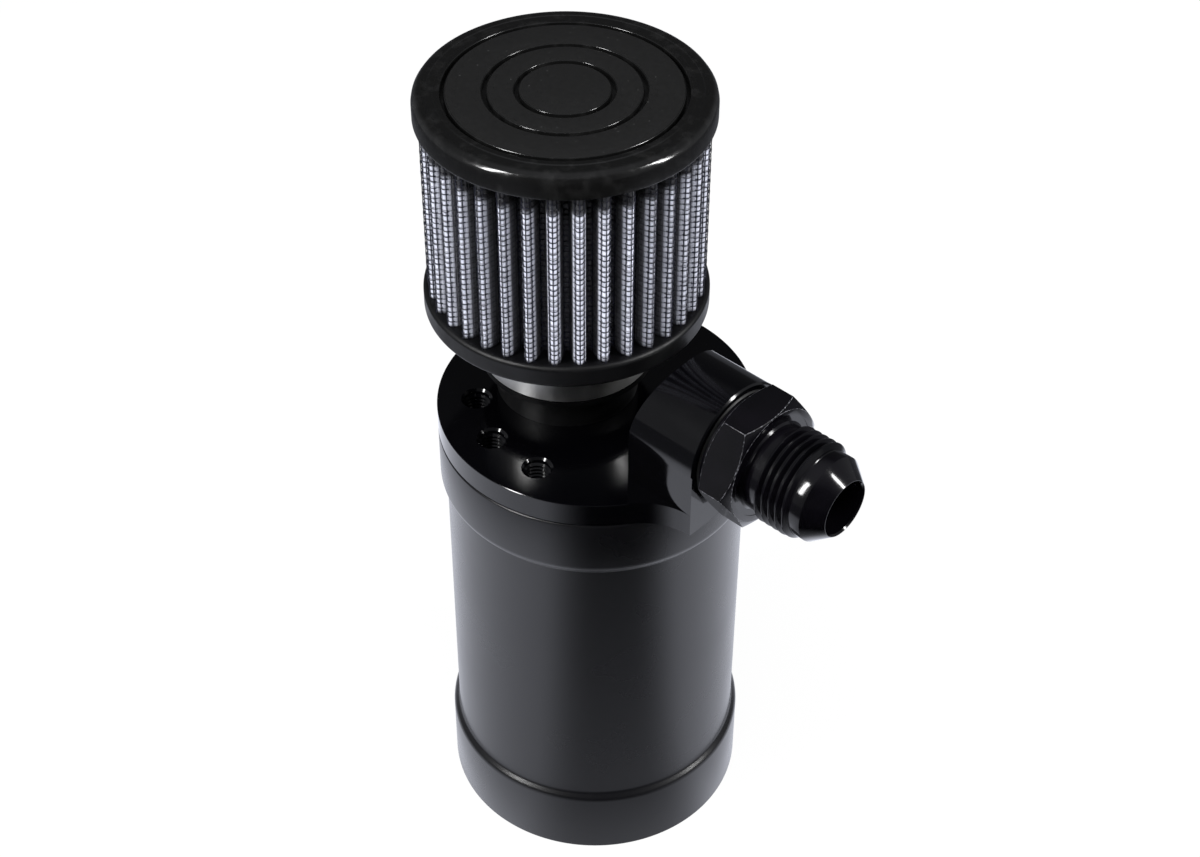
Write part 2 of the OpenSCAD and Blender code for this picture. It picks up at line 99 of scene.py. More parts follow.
def add(tree, kind, inputs=(), **settings):
    """Adds a node with its settings, then sets or links its inputs."""
    node = tree.nodes.new("ShaderNode" + kind)
    for name, value in settings.items():
        setattr(node, name, value)
    for name, value in dict(inputs).items():
        if isinstance(value, bpy.types.NodeSocket):
            tree.links.new(value, node.inputs[name])
        else:
            node.inputs[name].default_value = value
    return node


SHOWN_WHITE = 0.95      # how far a camera ray sees the paper as pure white
# The floor glows to glossy rays: a painted reflection, white, with painted shade in a strip toward the
# camera at the can's foot.
FLOOR_WHITE = 1.42      # what glossy things mirror on the floor
FLOOR_NEAR = 0.72       # and on its dark strip toward the camera, at the can's foot
FLOOR_FAR = 0.0         # and where that strip ends
STRIP_TURN = 12         # how far the dark strip lies to the right of the camera, in degrees
PAPER_ENDS = (0.17, 0.27)   # where the lit paper fades, in metres from the can
PAPER_LEFT = 0.10       # how much of it is mirrored beyond that
ROOM_DARK = 0.045       # in the room ahead and behind
ROOM_WHITE = 0.35       # and at its left and right
SKY_GREY = 0.40         # and overhead
SKY_SPAN = (0.6, 1.0)   # where the ceiling begins and is full, as the sine of the height
SIDE_SPAN = (0.35, 0.95)    # where the room's sides begin and are full, as the cosine to them
STRIP_SPAN = (0.66, 0.98)   # the same for the dark strip on the floor
STRIP_FADE = (0.04, 0.13)   # where that strip starts and ends, in metres from the can's axis
FLOOR_SIZE = 3.0        # half of the floor's side
LAMP_DISTANCE = 0.9     # from the point that the lamps look at
LAMP_AIM = Vector((0, 0, 0.12))


world = bpy.data.worlds.new("grey_room")
scene.world = world
world.use_nodes = True
tree = world.node_tree
tree.nodes.clear()
direction = add(tree, "TexCoord").outputs["Generated"]
rise = add(tree, "SeparateXYZ", {0: direction}).outputs["Z"]
overhead = add(tree, "MapRange", {"Value": rise, "From Min": SKY_SPAN[0], "From Max": SKY_SPAN[1],
                                  "To Min": ROOM_DARK, "To Max": SKY_GREY}, interpolation_type="SMOOTHSTEP")
sideways = add(tree, "VectorMath", {0: direction, 1: tuple(level_right)}, operation="DOT_PRODUCT")
sideways = add(tree, "Math", {0: sideways.outputs["Value"]}, operation="ABSOLUTE")
level = add(tree, "MapRange", {"Value": sideways.outputs[0], "From Min": SIDE_SPAN[0],
                               "From Max": SIDE_SPAN[1], "To Min": overhead.outputs["Result"],
                               "To Max": ROOM_WHITE}, interpolation_type="SMOOTHSTEP").outputs["Result"]
room = add(tree, "Background", {"Color": linear("f7f9ff"), "Strength": level})
paper = add(tree, "Background", {"Color": linear("ffffff"), "Strength": 1.0})
ray = add(tree, "LightPath")
in_view = ray.outputs["Is Camera Ray"]
shown = add(tree, "MixShader", {0: in_view, 1: room.outputs[0], 2: paper.outputs[0]})
add(tree, "OutputWorld", {"Surface": shown.outputs[0]})

floor_material = bpy.data.materials.new("white_paper")
floor_material.use_nodes = True
tree = floor_material.node_tree
tree.nodes.clear()
matt = add(tree, "BsdfDiffuse", {"Color": linear("e8e8e8")})
glow = add(tree, "Emission", {"Color": linear("ffffff"), "Strength": 1.0})
place = add(tree, "TexCoord").outputs["Object"]
away = add(tree, "VectorMath", {0: place}, operation="NORMALIZE").outputs[0]
strip_way = Matrix.Rotation(math.radians(STRIP_TURN), 3, "Z") @ -heading_flat
ahead = add(tree, "VectorMath", {0: away, 1: tuple(strip_way)}, operation="DOT_PRODUCT").outputs["Value"]
distance = add(tree, "VectorMath", {0: place}, operation="LENGTH").outputs["Value"]
# Painted shade of that strip: dim at the can's foot and black further out.
painted_strip_shade = add(tree, "MapRange", {"Value": distance, "From Min": STRIP_FADE[0], "From Max": STRIP_FADE[1],
                              "To Min": FLOOR_NEAR, "To Max": FLOOR_FAR}).outputs["Result"]
level = add(tree, "MapRange", {"Value": ahead, "From Min": STRIP_SPAN[0], "From Max": STRIP_SPAN[1],
                               "To Min": FLOOR_WHITE, "To Max": painted_strip_shade}, interpolation_type="SMOOTHSTEP")
fading = add(tree, "MapRange", {"Value": distance, "From Min": PAPER_ENDS[0], "From Max": PAPER_ENDS[1],
                                "To Min": 1.0, "To Max": PAPER_LEFT}, interpolation_type="SMOOTHSTEP")
level = add(tree, "Math", {0: level.outputs["Result"], 1: fading.outputs["Result"]}, operation="MULTIPLY")
# The painted reflection: what glossy and transmission rays see of the floor, glowing at these levels.
mirrored = add(tree, "Emission", {"Color": linear("f0f3ff"), "Strength": level.outputs[0]})
ray = add(tree, "LightPath")
in_mirror = add(tree, "Math", {0: ray.outputs["Is Glossy Ray"], 1: ray.outputs["Is Transmission Ray"]},
                operation="MAXIMUM")
shown = add(tree, "MixShader", {0: in_mirror.outputs[0], 1: matt.outputs[0], 2: mirrored.outputs[0]})
in_view = add(tree, "Math", {0: ray.outputs["Is Camera Ray"], 1: SHOWN_WHITE}, operation="MULTIPLY")
shown = add(tree, "MixShader", {0: in_view.outputs[0], 1: shown.outputs[0], 2: glow.outputs[0]})
add(tree, "OutputMaterial", {"Surface": shown.outputs[0]})
bm = bmesh.new()
bmesh.ops.create_grid(bm, x_segments=1, y_segments=1, size=FLOOR_SIZE)
bmesh.ops.translate(bm, verts=bm.verts, vec=(0, 0, cad_low.z - 0.0001))
floor_mesh = bpy.data.meshes.new("floor")
bm.to_mesh(floor_mesh)
bm.free()
floor_mesh.materials.append(floor_material)
floor = bpy.data.objects.new("floor", floor_mesh)
scene.collection.objects.link(floor)

# Name, compass direction, height above the floor in degrees, watts, width and length in metres.
for name, azimuth, rise, power, width, length in (
        ("soft_box_left", -105, 40, 10.0, 0.12, 0.50),
        ("soft_box_right", 28, 34, 8.5, 0.10, 0.45),
        ("soft_box_front", -47, 66, 7.0, 0.40, 0.40)):
    lamp_data = bpy.data.lights.new(name, "AREA")
    lamp_data.energy = power
    lamp_data.shape = "RECTANGLE"
    lamp_data.size = width
    lamp_data.size_y = length
    lamp = bpy.data.objects.new(name, lamp_data)
    turn, tilt = math.radians(azimuth), math.radians(rise)
    way = Vector((math.cos(turn) * math.cos(tilt), math.sin(turn) * math.cos(tilt), math.sin(tilt)))
    lamp.location = LAMP_AIM + way * LAMP_DISTANCE
    lamp.rotation_mode = "QUATERNION"
    lamp.rotation_quaternion = way.to_track_quat("Z", "Y")
    # The front box only lights: nothing mirrors it.
    lamp.visible_glossy = name != "soft_box_front"
    scene.collection.objects.link(lamp)


# Can. A cup turned from aluminium bar, left thick at the foot and at the rim, and
# anodised black after fine blasting, which gives it a satin sheen.
def principled(name, colour, roughness, metallic=0.0, ior=1.5):
    """A material with one Principled shader, its tree, its shader and its Object coordinates."""
    material = bpy.data.materials.new(name)
    material.use_nodes = True
    tree = material.node_tree
    shader = tree.nodes["Principled BSDF"]
    shader.inputs["Base Color"].default_value = linear(colour)
    shader.inputs["Roughness"].default_value = roughness
    shader.inputs["Metallic"].default_value = metallic
    shader.inputs["IOR"].default_value = ior
    return material, tree, shader, add(tree, "TexCoord").outputs["Object"]


def vary(tree, target, place, scale, low, high, span=(0.3, 0.7)):
    """Lets noise of that scale move a socket between low and high, which are numbers or colours."""
    noise = add(tree, "TexNoise", {"Vector": place, "Scale": scale, "Detail": 4.0}).outputs["Fac"]
    if isinstance(low, tuple):
        part = add(tree, "MapRange", {"Value": noise, "From Min": span[0], "From Max": span[1]})
        mixed = add(tree, "Mix", {0: part.outputs["Result"], 6: low, 7: high}, data_type="RGBA").outputs[2]
    else:
        mixed = add(tree, "MapRange", {"Value": noise, "From Min": span[0], "From Max": span[1],
                                       "To Min": low, "To Max": high}).outputs["Result"]
    tree.links.new(mixed, target)


def relief(tree, shader, height, depth):
    """Bump of that depth in metres on the shader's normal."""
    bump = add(tree, "Bump", {"Height": height, "Strength": 1.0, "Distance": depth})
    tree.links.new(bump.outputs["Normal"], shader.inputs["Normal"])


def dress(name, material):
    """Gives a CAD node its material."""
    mesh = nodes[name].data
    mesh.materials.clear()
    mesh.materials.append(material)


# Satin black anodised aluminium: a broad soft sheen with the grain of fine blasting, about
# 0.2 mm, and slow changes of sheen from handling.
can_black, tree, shader, place = principled("satin_black_anodised_aluminium", "070709", 0.29, ior=1.42)
grain = add(tree, "TexNoise", {"Vector": place, "Scale": 5000.0, "Detail": 2.0})
relief(tree, shader, grain.outputs["Fac"], 0.000002)
vary(tree, shader.inputs["Roughness"], place, 45.0, 0.26, 0.31)

MM = 0.001
CAN_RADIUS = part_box("can_body")[1].x
CAN_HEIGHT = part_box("can_body")[1].z
WAIST_RADIUS = CAN_RADIUS - 1.4 * MM
CAN_BORE = WAIST_RADIUS - 2.5 * MM
MOUTH_RADIUS = CAN_RADIUS - 2.5 * MM
FOOT_BAND = 17.6 * MM
RIM_BAND = 13.6 * MM
BAND_SLOPE = 1.3 * MM
MOUTH_DEPTH = 14 * MM
CAN_FLOOR = 4 * MM
FLOOR_CORNER = 2 * MM
EDGE_ROUND = 0.4 * MM
MOUTH_ROUND = 0.15 * MM
FOOT_SHOULDER = 1.6 * MM
FOOT_HOLLOW = 1.2 * MM
RIM_HOLLOW = 0.9 * MM
RIM_SHOULDER = 3.0 * MM
NECK_PITCH = 1.5 * MM
NECK_CREST = 0.25 * MM  # how far a thread stands out of its cylinder
NECK_ROOT = 0.05 * MM   # and how far it is sunk into it
MOUTH_THREAD_TURNS = 6.2
MOUTH_THREAD_FROM = CAN_HEIGHT - 12.5 * MM


def rounded(corners, steps=4):
    """Closed outline of (height, radius, rounding) corners, each rounded by an arc of that radius."""
    outline = []
    for i, (height, radius, rounding) in enumerate(corners):
        here = Vector((height, radius))
        if rounding == 0:
            outline.append(tuple(here))
            continue
        before = (Vector(corners[i - 1][:2]) - here).normalized()
        after = (Vector(corners[(i + 1) % len(corners)][:2]) - here).normalized()
        half = before.angle(after) / 2
        centre = here + (before + after).normalized() * (rounding / math.sin(half))
        start = here + before * (rounding / math.tan(half)) - centre
        finish = here + after * (rounding / math.tan(half)) - centre
        for step in range(steps + 1):
            way = start.slerp(finish, step / steps).normalized()
            outline.append(tuple(centre + way * rounding))
    return outline


def turned(profile, steps):
    """Closed solid of revolution round Z from a closed outline of (height, radius) points."""
    bm = bmesh.new()
    ring = [bm.verts.new((radius, 0, height)) for height, radius in profile]
    edges = [bm.edges.new((a, b)) for a, b in zip(ring, ring[1:] + ring[:1])]
    bmesh.ops.spin(bm, geom=ring + edges, cent=(0, 0, 0), axis=(0, 0, 1), angle=math.tau, steps=steps,
                   use_merge=True)
    bmesh.ops.remove_doubles(bm, verts=bm.verts, dist=0.001 * MM)
    bmesh.ops.recalc_face_normals(bm, faces=bm.faces)
    return bm


def piece(name, bm, materials, body, replaces=(), sharp=30):
    """Makes the bmesh a named piece that rides on a body. Edges over sharp degrees stay crisp."""
    mesh = bpy.data.meshes.new(name)
    bm.to_mesh(mesh)
    bm.free()
    for material in materials:
        mesh.materials.append(material)
    mesh.shade_smooth()
    mesh.set_sharp_from_angle(angle=math.radians(sharp))
    made = bpy.data.objects.new(name, mesh)
    scene.collection.objects.link(made)
    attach(made, body)
    if replaces:
        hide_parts(*replaces)


def vee(pitch, root, crest):
    """Section of a sharp thread ridge: its root and its crest at these radii."""
    return [(-0.44 * pitch, root), (0.44 * pitch, root), (0.06 * pitch, crest), (-0.06 * pitch, crest)]


def ridge(section, pitch, turns, steps, run_out):
    """Thread ridge round Z: a section of (height, radius) points swept along a right-hand helix.

    Its crest sinks to the first point's radius over run_out turns at both ends.
    """
    bm = bmesh.new()
    corners = [bm.verts.new((radius, 0, height)) for height, radius in section]
    face = bm.faces.new(corners)
    bmesh.ops.spin(bm, geom=[face, *face.edges, *corners], cent=(0, 0, 0), axis=(0, 0, 1),
                   dvec=(0, 0, pitch / steps), angle=math.tau * turns, steps=round(steps * turns))
    foot = section[0][1]
    middle = sum(height for height, radius in section) / len(section)
    for vert in bm.verts:
        angle = math.atan2(vert.co.y, vert.co.x) / math.tau
        progress = round((vert.co.z - middle) / pitch - angle) + angle
        share = max(0.02, min(1, progress / run_out, (turns - progress) / run_out))
        radius = math.hypot(vert.co.x, vert.co.y)
        scale = (foot + (radius - foot) * share) / radius
        vert.co.x *= scale
        vert.co.y *= scale
    bmesh.ops.recalc_face_normals(bm, faces=bm.faces)
    return bm


def merge_in(bm, other):
    """Adds another bmesh's geometry to bm."""
    mesh = bpy.data.meshes.new("scratch")
    other.to_mesh(mesh)
    other.free()
    bm.from_mesh(mesh)
    bpy.data.meshes.remove(mesh)


cup = turned(rounded([
    (0, 0, 0),
    (0, CAN_RADIUS, EDGE_ROUND),
    (FOOT_BAND, CAN_RADIUS, FOOT_SHOULDER),
    (FOOT_BAND + BAND_SLOPE, WAIST_RADIUS, FOOT_HOLLOW),
    (CAN_HEIGHT - RIM_BAND - BAND_SLOPE, WAIST_RADIUS, RIM_HOLLOW),
    (CAN_HEIGHT - RIM_BAND, CAN_RADIUS, RIM_SHOULDER),
    (CAN_HEIGHT, CAN_RADIUS, EDGE_ROUND),
    (CAN_HEIGHT, MOUTH_RADIUS, MOUTH_ROUND),
    (CAN_HEIGHT - MOUTH_DEPTH, MOUTH_RADIUS, 0),
    (CAN_HEIGHT - MOUTH_DEPTH - 1 * MM, CAN_BORE, 0),
    (CAN_FLOOR, CAN_BORE, FLOOR_CORNER),
    (CAN_FLOOR, 0, 0),
]), 160)
# The mouth's thread is right-hand, with its crests at 32.75 mm radius.
mouth_thread = ridge(vee(NECK_PITCH, MOUTH_RADIUS + NECK_ROOT, MOUTH_RADIUS - NECK_CREST),
                     NECK_PITCH, MOUTH_THREAD_TURNS, 96, 0.5)
bmesh.ops.translate(mouth_thread, verts=mouth_thread.verts, vec=(0, 0, MOUTH_THREAD_FROM))
merge_in(cup, mouth_thread)
piece("turned_can", cup, [can_black], "can", ["can_body"], sharp=40)


# Lid. Machined from one piece of bar with its inlet boss and the neck that screws into
# the can, polished and anodised black, so that it mirrors what stands on it.
# Gloss black anodised aluminium: a hard mirror-like sheen with a little haze and faint wiping marks.
lid_black, tree, shader, place = principled("gloss_black_anodised_aluminium", "020203", 0.10, ior=1.42)
vary(tree, shader.inputs["Roughness"], place, 60.0, 0.08, 0.14)
scuffs = add(tree, "Mapping", {"Vector": place, "Rotation": (0.3, 0.2, 0.7), "Scale": (60.0, 900.0, 60.0)})
marks = add(tree, "TexNoise", {"Vector": scuffs.outputs[0], "Scale": 4.0, "Detail": 3.0})
relief(tree, shader, marks.outputs["Fac"], 0.0000004)
dress("lid_boss", lid_black)
dress("lid_neck", lid_black)
LID_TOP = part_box("lid")[1].z
CHAMFER = 0.4 * MM
WORN_CHAMFER = 0.12 * MM
NECK_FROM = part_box("lid_neck")[0].z
NECK_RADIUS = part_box("lid_neck")[1].x
NECK_THREAD_FROM = NECK_FROM + 0.9 * MM
NECK_THREAD_TURNS = 4.3

# The disc's top edge is only broken, by much less than its drawn chamfer, so its glint is
# a hair wide.
plate = bmesh.new()
corners = [plate.verts.new(vert.co) for vert in nodes["lid"].data.vertices]
for polygon in nodes["lid"].data.polygons:
    plate.faces.new([corners[i] for i in polygon.vertices])
bmesh.ops.remove_doubles(plate, verts=plate.verts, dist=0.001 * MM)
for vert in plate.verts:
    radius = math.hypot(vert.co.x, vert.co.y)
    below = LID_TOP - vert.co.z
    inside = CAN_RADIUS - radius
    if below < CHAMFER + 0.001 * MM and -0.001 * MM < inside < CHAMFER + 0.001 * MM:
        share = (CAN_RADIUS - inside * WORN_CHAMFER / CHAMFER) / radius
        vert.co.x *= share
        vert.co.y *= share
        vert.co.z = LID_TOP - below * WORN_CHAMFER / CHAMFER
bmesh.ops.recalc_face_normals(plate, faces=plate.faces)
piece("machined_lid", plate, [lid_black], "head", ["lid"])
# The neck's thread is right-hand and runs between the neck's end and the seal's groove, half
# a pitch off the mouth's thread.
neck_thread = ridge(vee(NECK_PITCH, NECK_RADIUS - NECK_ROOT, NECK_RADIUS + NECK_CREST),
                    NECK_PITCH, NECK_THREAD_TURNS, 96, 0.5)
phase = ((MOUTH_THREAD_FROM - NECK_THREAD_FROM) / NECK_PITCH + 0.5) % 1
bmesh.ops.translate(neck_thread, verts=neck_thread.verts, vec=(0, 0, NECK_THREAD_FROM + phase * NECK_PITCH))
piece("neck_thread", neck_thread, [lid_black], "head")
# The spigot's tube is drawn, not turned: matt black, its dull sheen a little uneven.
tube_black, tree, shader, place = principled("dull_black_anodised_tube", "060607", 0.45, ior=1.4)
vary(tree, shader.inputs["Roughness"], place, 200.0, 0.4, 0.55)
dress("lid_spigot", tube_black)


# Threads of the lid's three holes. Right-hand, 1 mm pitch, cut by a tap, so each is a
# sharp-crested ridge that stands inwards from the wall of its hole.
TAPPED_PITCH = 1.0 * MM
TAPPED_TURNS = 8
TAPPED_RADIUS = 3.0 * MM
TAPPED_CREST = 2.45 * MM
TAPPED_CIRCLE = 26.6 * MM
TAPPED_HEADINGS = (-135.9, -105.7, -75.5)
TAPPED_FROM = LID_TOP - (TAPPED_TURNS + 1.1) * TAPPED_PITCH

threads = bmesh.new()
for azimuth in TAPPED_HEADINGS:
    one = ridge(vee(TAPPED_PITCH, TAPPED_RADIUS, TAPPED_CREST), TAPPED_PITCH, TAPPED_TURNS, 32, 0.5)
    turn = math.radians(azimuth)
    bmesh.ops.translate(one, verts=one.verts, vec=(
        TAPPED_CIRCLE * math.cos(turn), TAPPED_CIRCLE * math.sin(turn), TAPPED_FROM))
    merge_in(threads, one)
piece("hole_threads", threads, [lid_black], "head")


# Seals. Two moulded rings of black nitrile rubber: one round the lid's neck, one in the
# boss's counterbore, squeezed by the hexagon.
# Moulded nitrile rubber: dark, dull, with a fine skin.
seal_rubber, tree, shader, place = principled("black_nitrile_rubber", "101010", 0.55)
vary(tree, shader.inputs["Roughness"], place, 400.0, 0.48, 0.62)
skin = add(tree, "TexNoise", {"Vector": place, "Scale": 3000.0, "Detail": 2.0})
relief(tree, shader, skin.outputs["Fac"], 0.000004)
dress("lid_seal", seal_rubber)
dress("inlet_seal", seal_rubber)


# Inlet fitting. A male flare adapter turned from hexagon bar: a stub screwed into the
# boss, the hexagon, an undercut, the hose thread, a plain nose and the sealing cone.
FITTING_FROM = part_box("inlet_fitting")[0].x
FITTING_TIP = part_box("inlet_fitting")[1].x
FITTING_Z = (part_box("inlet_fitting")[0].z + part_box("inlet_fitting")[1].z) / 2
HOSE_PITCH = 25.4 / 14 * MM
HOSE_RADIUS = 11.1 * MM
HOSE_ROOT = 10.0 * MM
HOSE_TURNS = 5.1
STUB_TO = 38.8 * MM
UNDERCUT_RADIUS = 10.9 * MM
WASHER_FROM = 41.3 * MM
WASHER_RADIUS = 12.9 * MM
HEX_CORE = 12.0 * MM
NOSE_FROM = 62.7 * MM
NOSE_TO = 65.4 * MM
NOSE_RADIUS = 9.9 * MM
CONE_TIP_RADIUS = 6.8 * MM
BORE_RADIUS = 6.2 * MM
HEX_RADIUS = 27 / 2 / math.cos(math.radians(30)) * MM
HEX_FLAT = 13.5 * MM
HEX_FROM = 42.1 * MM
HEX_TO = 50.4 * MM
HEX_TURN = 2.2
THREAD_FROM = 53.3 * MM
HAIR = 0.1 * MM         # how far faces that would coincide are kept apart
WORN_EDGE = 0.09 * MM   # width of the rubbed edge round each flat


def shared(first, second):
    """What two bmeshes have in common. Both are used up."""
    made = []
    for bm in (first, second):
        mesh = bpy.data.meshes.new("carving")
        bm.to_mesh(mesh)
        bm.free()
        made.append(bpy.data.objects.new("carving", mesh))
        scene.collection.objects.link(made[-1])
    modifier = made[0].modifiers.new("carve", "BOOLEAN")
    modifier.operation = "INTERSECT"
    modifier.solver = "EXACT"
    modifier.object = made[1]
    ready = made[0].evaluated_get(bpy.context.evaluated_depsgraph_get())
    result = bmesh.new()
    result.from_mesh(ready.to_mesh())
    ready.to_mesh_clear()
    for o in made:
        mesh = o.data
        bpy.data.objects.remove(o)
        bpy.data.meshes.remove(mesh)
    return result


body = turned([
    (FITTING_FROM, BORE_RADIUS),
    (FITTING_FROM, HOSE_RADIUS - 0.8 * MM),
    (FITTING_FROM + 0.8 * MM, HOSE_RADIUS),
    (STUB_TO, HOSE_RADIUS),
    (STUB_TO, UNDERCUT_RADIUS),
    (WASHER_FROM, UNDERCUT_RADIUS),
    (WASHER_FROM, WASHER_RADIUS),
    (HEX_FROM + HAIR, WASHER_RADIUS),
    (HEX_FROM + HAIR, HEX_CORE),
    (HEX_TO - HAIR, HEX_CORE),
    (HEX_TO - HAIR, HOSE_ROOT + 0.5 * MM),
    (HEX_TO + 0.3 * MM, HOSE_ROOT),
    (NOSE_FROM - HAIR, HOSE_ROOT),
    (NOSE_FROM, NOSE_RADIUS),
    (NOSE_TO, NOSE_RADIUS),
    (NOSE_TO + HAIR, NOSE_RADIUS - 0.04 * MM),
    (FITTING_TIP - 0.25 * MM, CONE_TIP_RADIUS + 0.02 * MM),
    (FITTING_TIP, CONE_TIP_RADIUS - 0.2 * MM),
    (FITTING_TIP, BORE_RADIUS + 0.3 * MM),
    (FITTING_TIP - 0.4 * MM, BORE_RADIUS),
], 128)
hexagon = bmesh.new()
bmesh.ops.create_cone(hexagon, cap_ends=True, segments=6, radius1=HEX_RADIUS, radius2=HEX_RADIUS,
                      depth=HEX_TO - HEX_FROM)
bmesh.ops.rotate(hexagon, verts=hexagon.verts, cent=(0, 0, 0),
                 matrix=Matrix.Rotation(math.radians(HEX_TURN), 3, "Z"))
bmesh.ops.translate(hexagon, verts=hexagon.verts, vec=(0, 0, (HEX_FROM + HEX_TO) / 2))
slope = (HEX_RADIUS - HEX_FLAT + 0.3 * MM) * math.tan(math.radians(30))
corners_off = turned([
    (HEX_FROM, HEX_CORE - HAIR),
    (HEX_FROM, HEX_FLAT - 0.2 * MM),
    (HEX_FROM + slope, HEX_RADIUS + HAIR),
    (HEX_TO - slope, HEX_RADIUS + HAIR),
    (HEX_TO, HEX_FLAT - 0.2 * MM),
    (HEX_TO, HEX_CORE - HAIR),
], 128)
hexagon = shared(hexagon, corners_off)
bmesh.ops.remove_doubles(hexagon, verts=hexagon.verts, dist=0.002 * MM)
bmesh.ops.dissolve_limit(hexagon, angle_limit=math.radians(1.0), verts=hexagon.verts, edges=hexagon.edges)
crisp = [e for e in hexagon.edges if len(e.link_faces) == 2 and e.calc_face_angle() > math.radians(20)
         and min(math.hypot(v.co.x, v.co.y) for v in e.verts) > HEX_CORE + 0.5 * MM]
bmesh.ops.bevel(hexagon, geom=crisp, offset=WORN_EDGE, affect="EDGES", segments=1, profile=0.5, material=1,
                clamp_overlap=True)
hose_thread = ridge([
    (-0.44 * HOSE_PITCH, HOSE_ROOT - 0.05 * MM),
    (0.44 * HOSE_PITCH, HOSE_ROOT - 0.05 * MM),
    (0.10 * HOSE_PITCH, HOSE_RADIUS - 0.05 * MM),
    (0.04 * HOSE_PITCH, HOSE_RADIUS),
    (-0.04 * HOSE_PITCH, HOSE_RADIUS),
    (-0.10 * HOSE_PITCH, HOSE_RADIUS - 0.05 * MM),
], HOSE_PITCH, HOSE_TURNS, 72, 0.3)
bmesh.ops.translate(hose_thread, verts=hose_thread.verts, vec=(0, 0, THREAD_FROM))
merge_in(body, hexagon)
merge_in(body, hose_thread)
along_x = Matrix.Translation((0, 0, FITTING_Z)) @ Matrix(((0, 0, 1), (0, 1, 0), (-1, 0, 0))).to_4x4()
bmesh.ops.transform(body, matrix=along_x, verts=body.verts)

# Bright-dipped black anodised aluminium with a violet cast, and the lines of the turning
# tool round its axis, drawn 0.3 mm apart so that they show.
fitting_black, tree, shader, place = principled("bright_black_anodised_aluminium", "030304", 0.12, ior=1.4)
vary(tree, shader.inputs["Base Color"], place, 110.0, linear("020203"), linear("060508"))
vary(tree, shader.inputs["Roughness"], place, 240.0, 0.08, 0.15)
stretch = add(tree, "Mapping", {"Vector": place, "Scale": (3300.0, 90.0, 90.0)})
lines = add(tree, "TexNoise", {"Vector": stretch.outputs[0], "Scale": 1.0, "Detail": 3.0})
relief(tree, shader, lines.outputs["Fac"], 0.000004)
# Edge of the hexagon, where handling has rubbed the black thin: grey, broken by noise.
edge_wear, tree, shader, place = principled("rubbed_anodised_edge", "2a2a2c", 0.4, ior=1.4)
vary(tree, shader.inputs["Base Color"], place, 1800.0, linear("0c0c0e"), linear("6a6a70"), span=(0.45, 0.7))
piece("flare_fitting", body, [fitting_black, edge_wear], "head", ["inlet_fitting"],
      sharp=22)


# Breather filter's sleeve and base ring. One rubber moulding, pushed over the spigot and
# cast round the pleats' lower ends.
FILTER_X = (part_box("filter_cap")[0].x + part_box("filter_cap")[1].x) / 2
PLEAT_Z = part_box("filter_gauze")[0].z
CAP_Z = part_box("filter_gauze")[1].z
# Moulded rubber: near black, matt, its sheen uneven, with fine pores.
filter_rubber, tree, shader, place = principled("moulded_rubber", "040405", 0.45, ior=1.35)
vary(tree, shader.inputs["Base Color"], place, 90.0, linear("020203"), linear("060607"))
vary(tree, shader.inputs["Roughness"], place, 150.0, 0.38, 0.58)
pores = add(tree, "TexNoise", {"Vector": place, "Scale": 2200.0, "Detail": 3.0})
relief(tree, shader, pores.outputs["Fac"], 0.00001)
dress("filter_base", filter_rubber)


# Clamp. A worm-drive hose clamp of bright stainless strip round the sleeve, with its
# housing at the back, where the screw's thread runs in slots punched in the strip.
BAND_Z = (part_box("clamp_band")[0].z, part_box("clamp_band")[1].z)
BAND_RADIUS = (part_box("clamp_band")[1].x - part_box("clamp_band")[0].x) / 2
BAND_WALL = 0.8 * MM
SLOT_COUNT = 100
SLOTS_FROM, SLOTS_TO = 22, 60
SLOT_LOW, SLOT_HIGH = 0.25, 0.75    # parts of the strip's width
SLOT_EDGE = 0.28 * MM

strip = bmesh.new()
column = [strip.verts.new((BAND_RADIUS - BAND_WALL, 0, BAND_Z[0] + share * (BAND_Z[1] - BAND_Z[0])))
          for share in (0, 0.05, SLOT_LOW, SLOT_HIGH, 0.95, 1)]
uprights = [strip.edges.new(pair) for pair in zip(column, column[1:])]
bmesh.ops.spin(strip, geom=column + uprights, cent=(0, 0, 0), axis=(0, 0, 1), angle=math.tau,
               steps=SLOT_COUNT, use_merge=True)
bmesh.ops.recalc_face_normals(strip, faces=strip.faces)
low_slot = BAND_Z[0] + SLOT_LOW * (BAND_Z[1] - BAND_Z[0])
high_slot = BAND_Z[0] + SLOT_HIGH * (BAND_Z[1] - BAND_Z[0])
slotted = []
for face in strip.faces:
    middle = face.calc_center_median()
    number = (math.atan2(middle.y, middle.x) / math.tau * SLOT_COUNT) % SLOT_COUNT
    if low_slot < middle.z < high_slot and SLOTS_FROM < number < SLOTS_TO:
        slotted.append(face)
bmesh.ops.inset_individual(strip, faces=slotted, thickness=SLOT_EDGE)
bmesh.ops.delete(strip, geom=slotted, context="FACES")
bmesh.ops.solidify(strip, geom=list(strip.faces), thickness=-BAND_WALL)
bmesh.ops.recalc_face_normals(strip, faces=strip.faces)
bmesh.ops.translate(strip, verts=strip.verts, vec=(FILTER_X, 0, 0))

# Stainless strip as rolled: bright, brushed round the band, with grooves about 0.1 mm apart.
clamp_steel, tree, shader, place = principled("rolled_stainless_strip", "d8d8d7", 0.36, metallic=1.0)
stretch = add(tree, "Mapping", {"Vector": place, "Scale": (60.0, 60.0, 9000.0)})
brushing = add(tree, "TexNoise", {"Vector": stretch.outputs[0], "Scale": 1.0, "Detail": 4.0})
relief(tree, shader, brushing.outputs["Fac"], 0.0000015)
vary(tree, shader.inputs["Roughness"], place, 300.0, 0.32, 0.42)
shader.inputs["Anisotropic"].default_value = 0.7
shader.inputs["Anisotropic Rotation"].default_value = 0.25
round_band = add(tree, "Tangent", direction_type="RADIAL", axis="Z").outputs[0]
tree.links.new(round_band, shader.inputs["Tangent"])
piece("clamp_strip", strip, [clamp_steel], "head", ["clamp_band"], sharp=35)
dress("clamp_housing", clamp_steel)
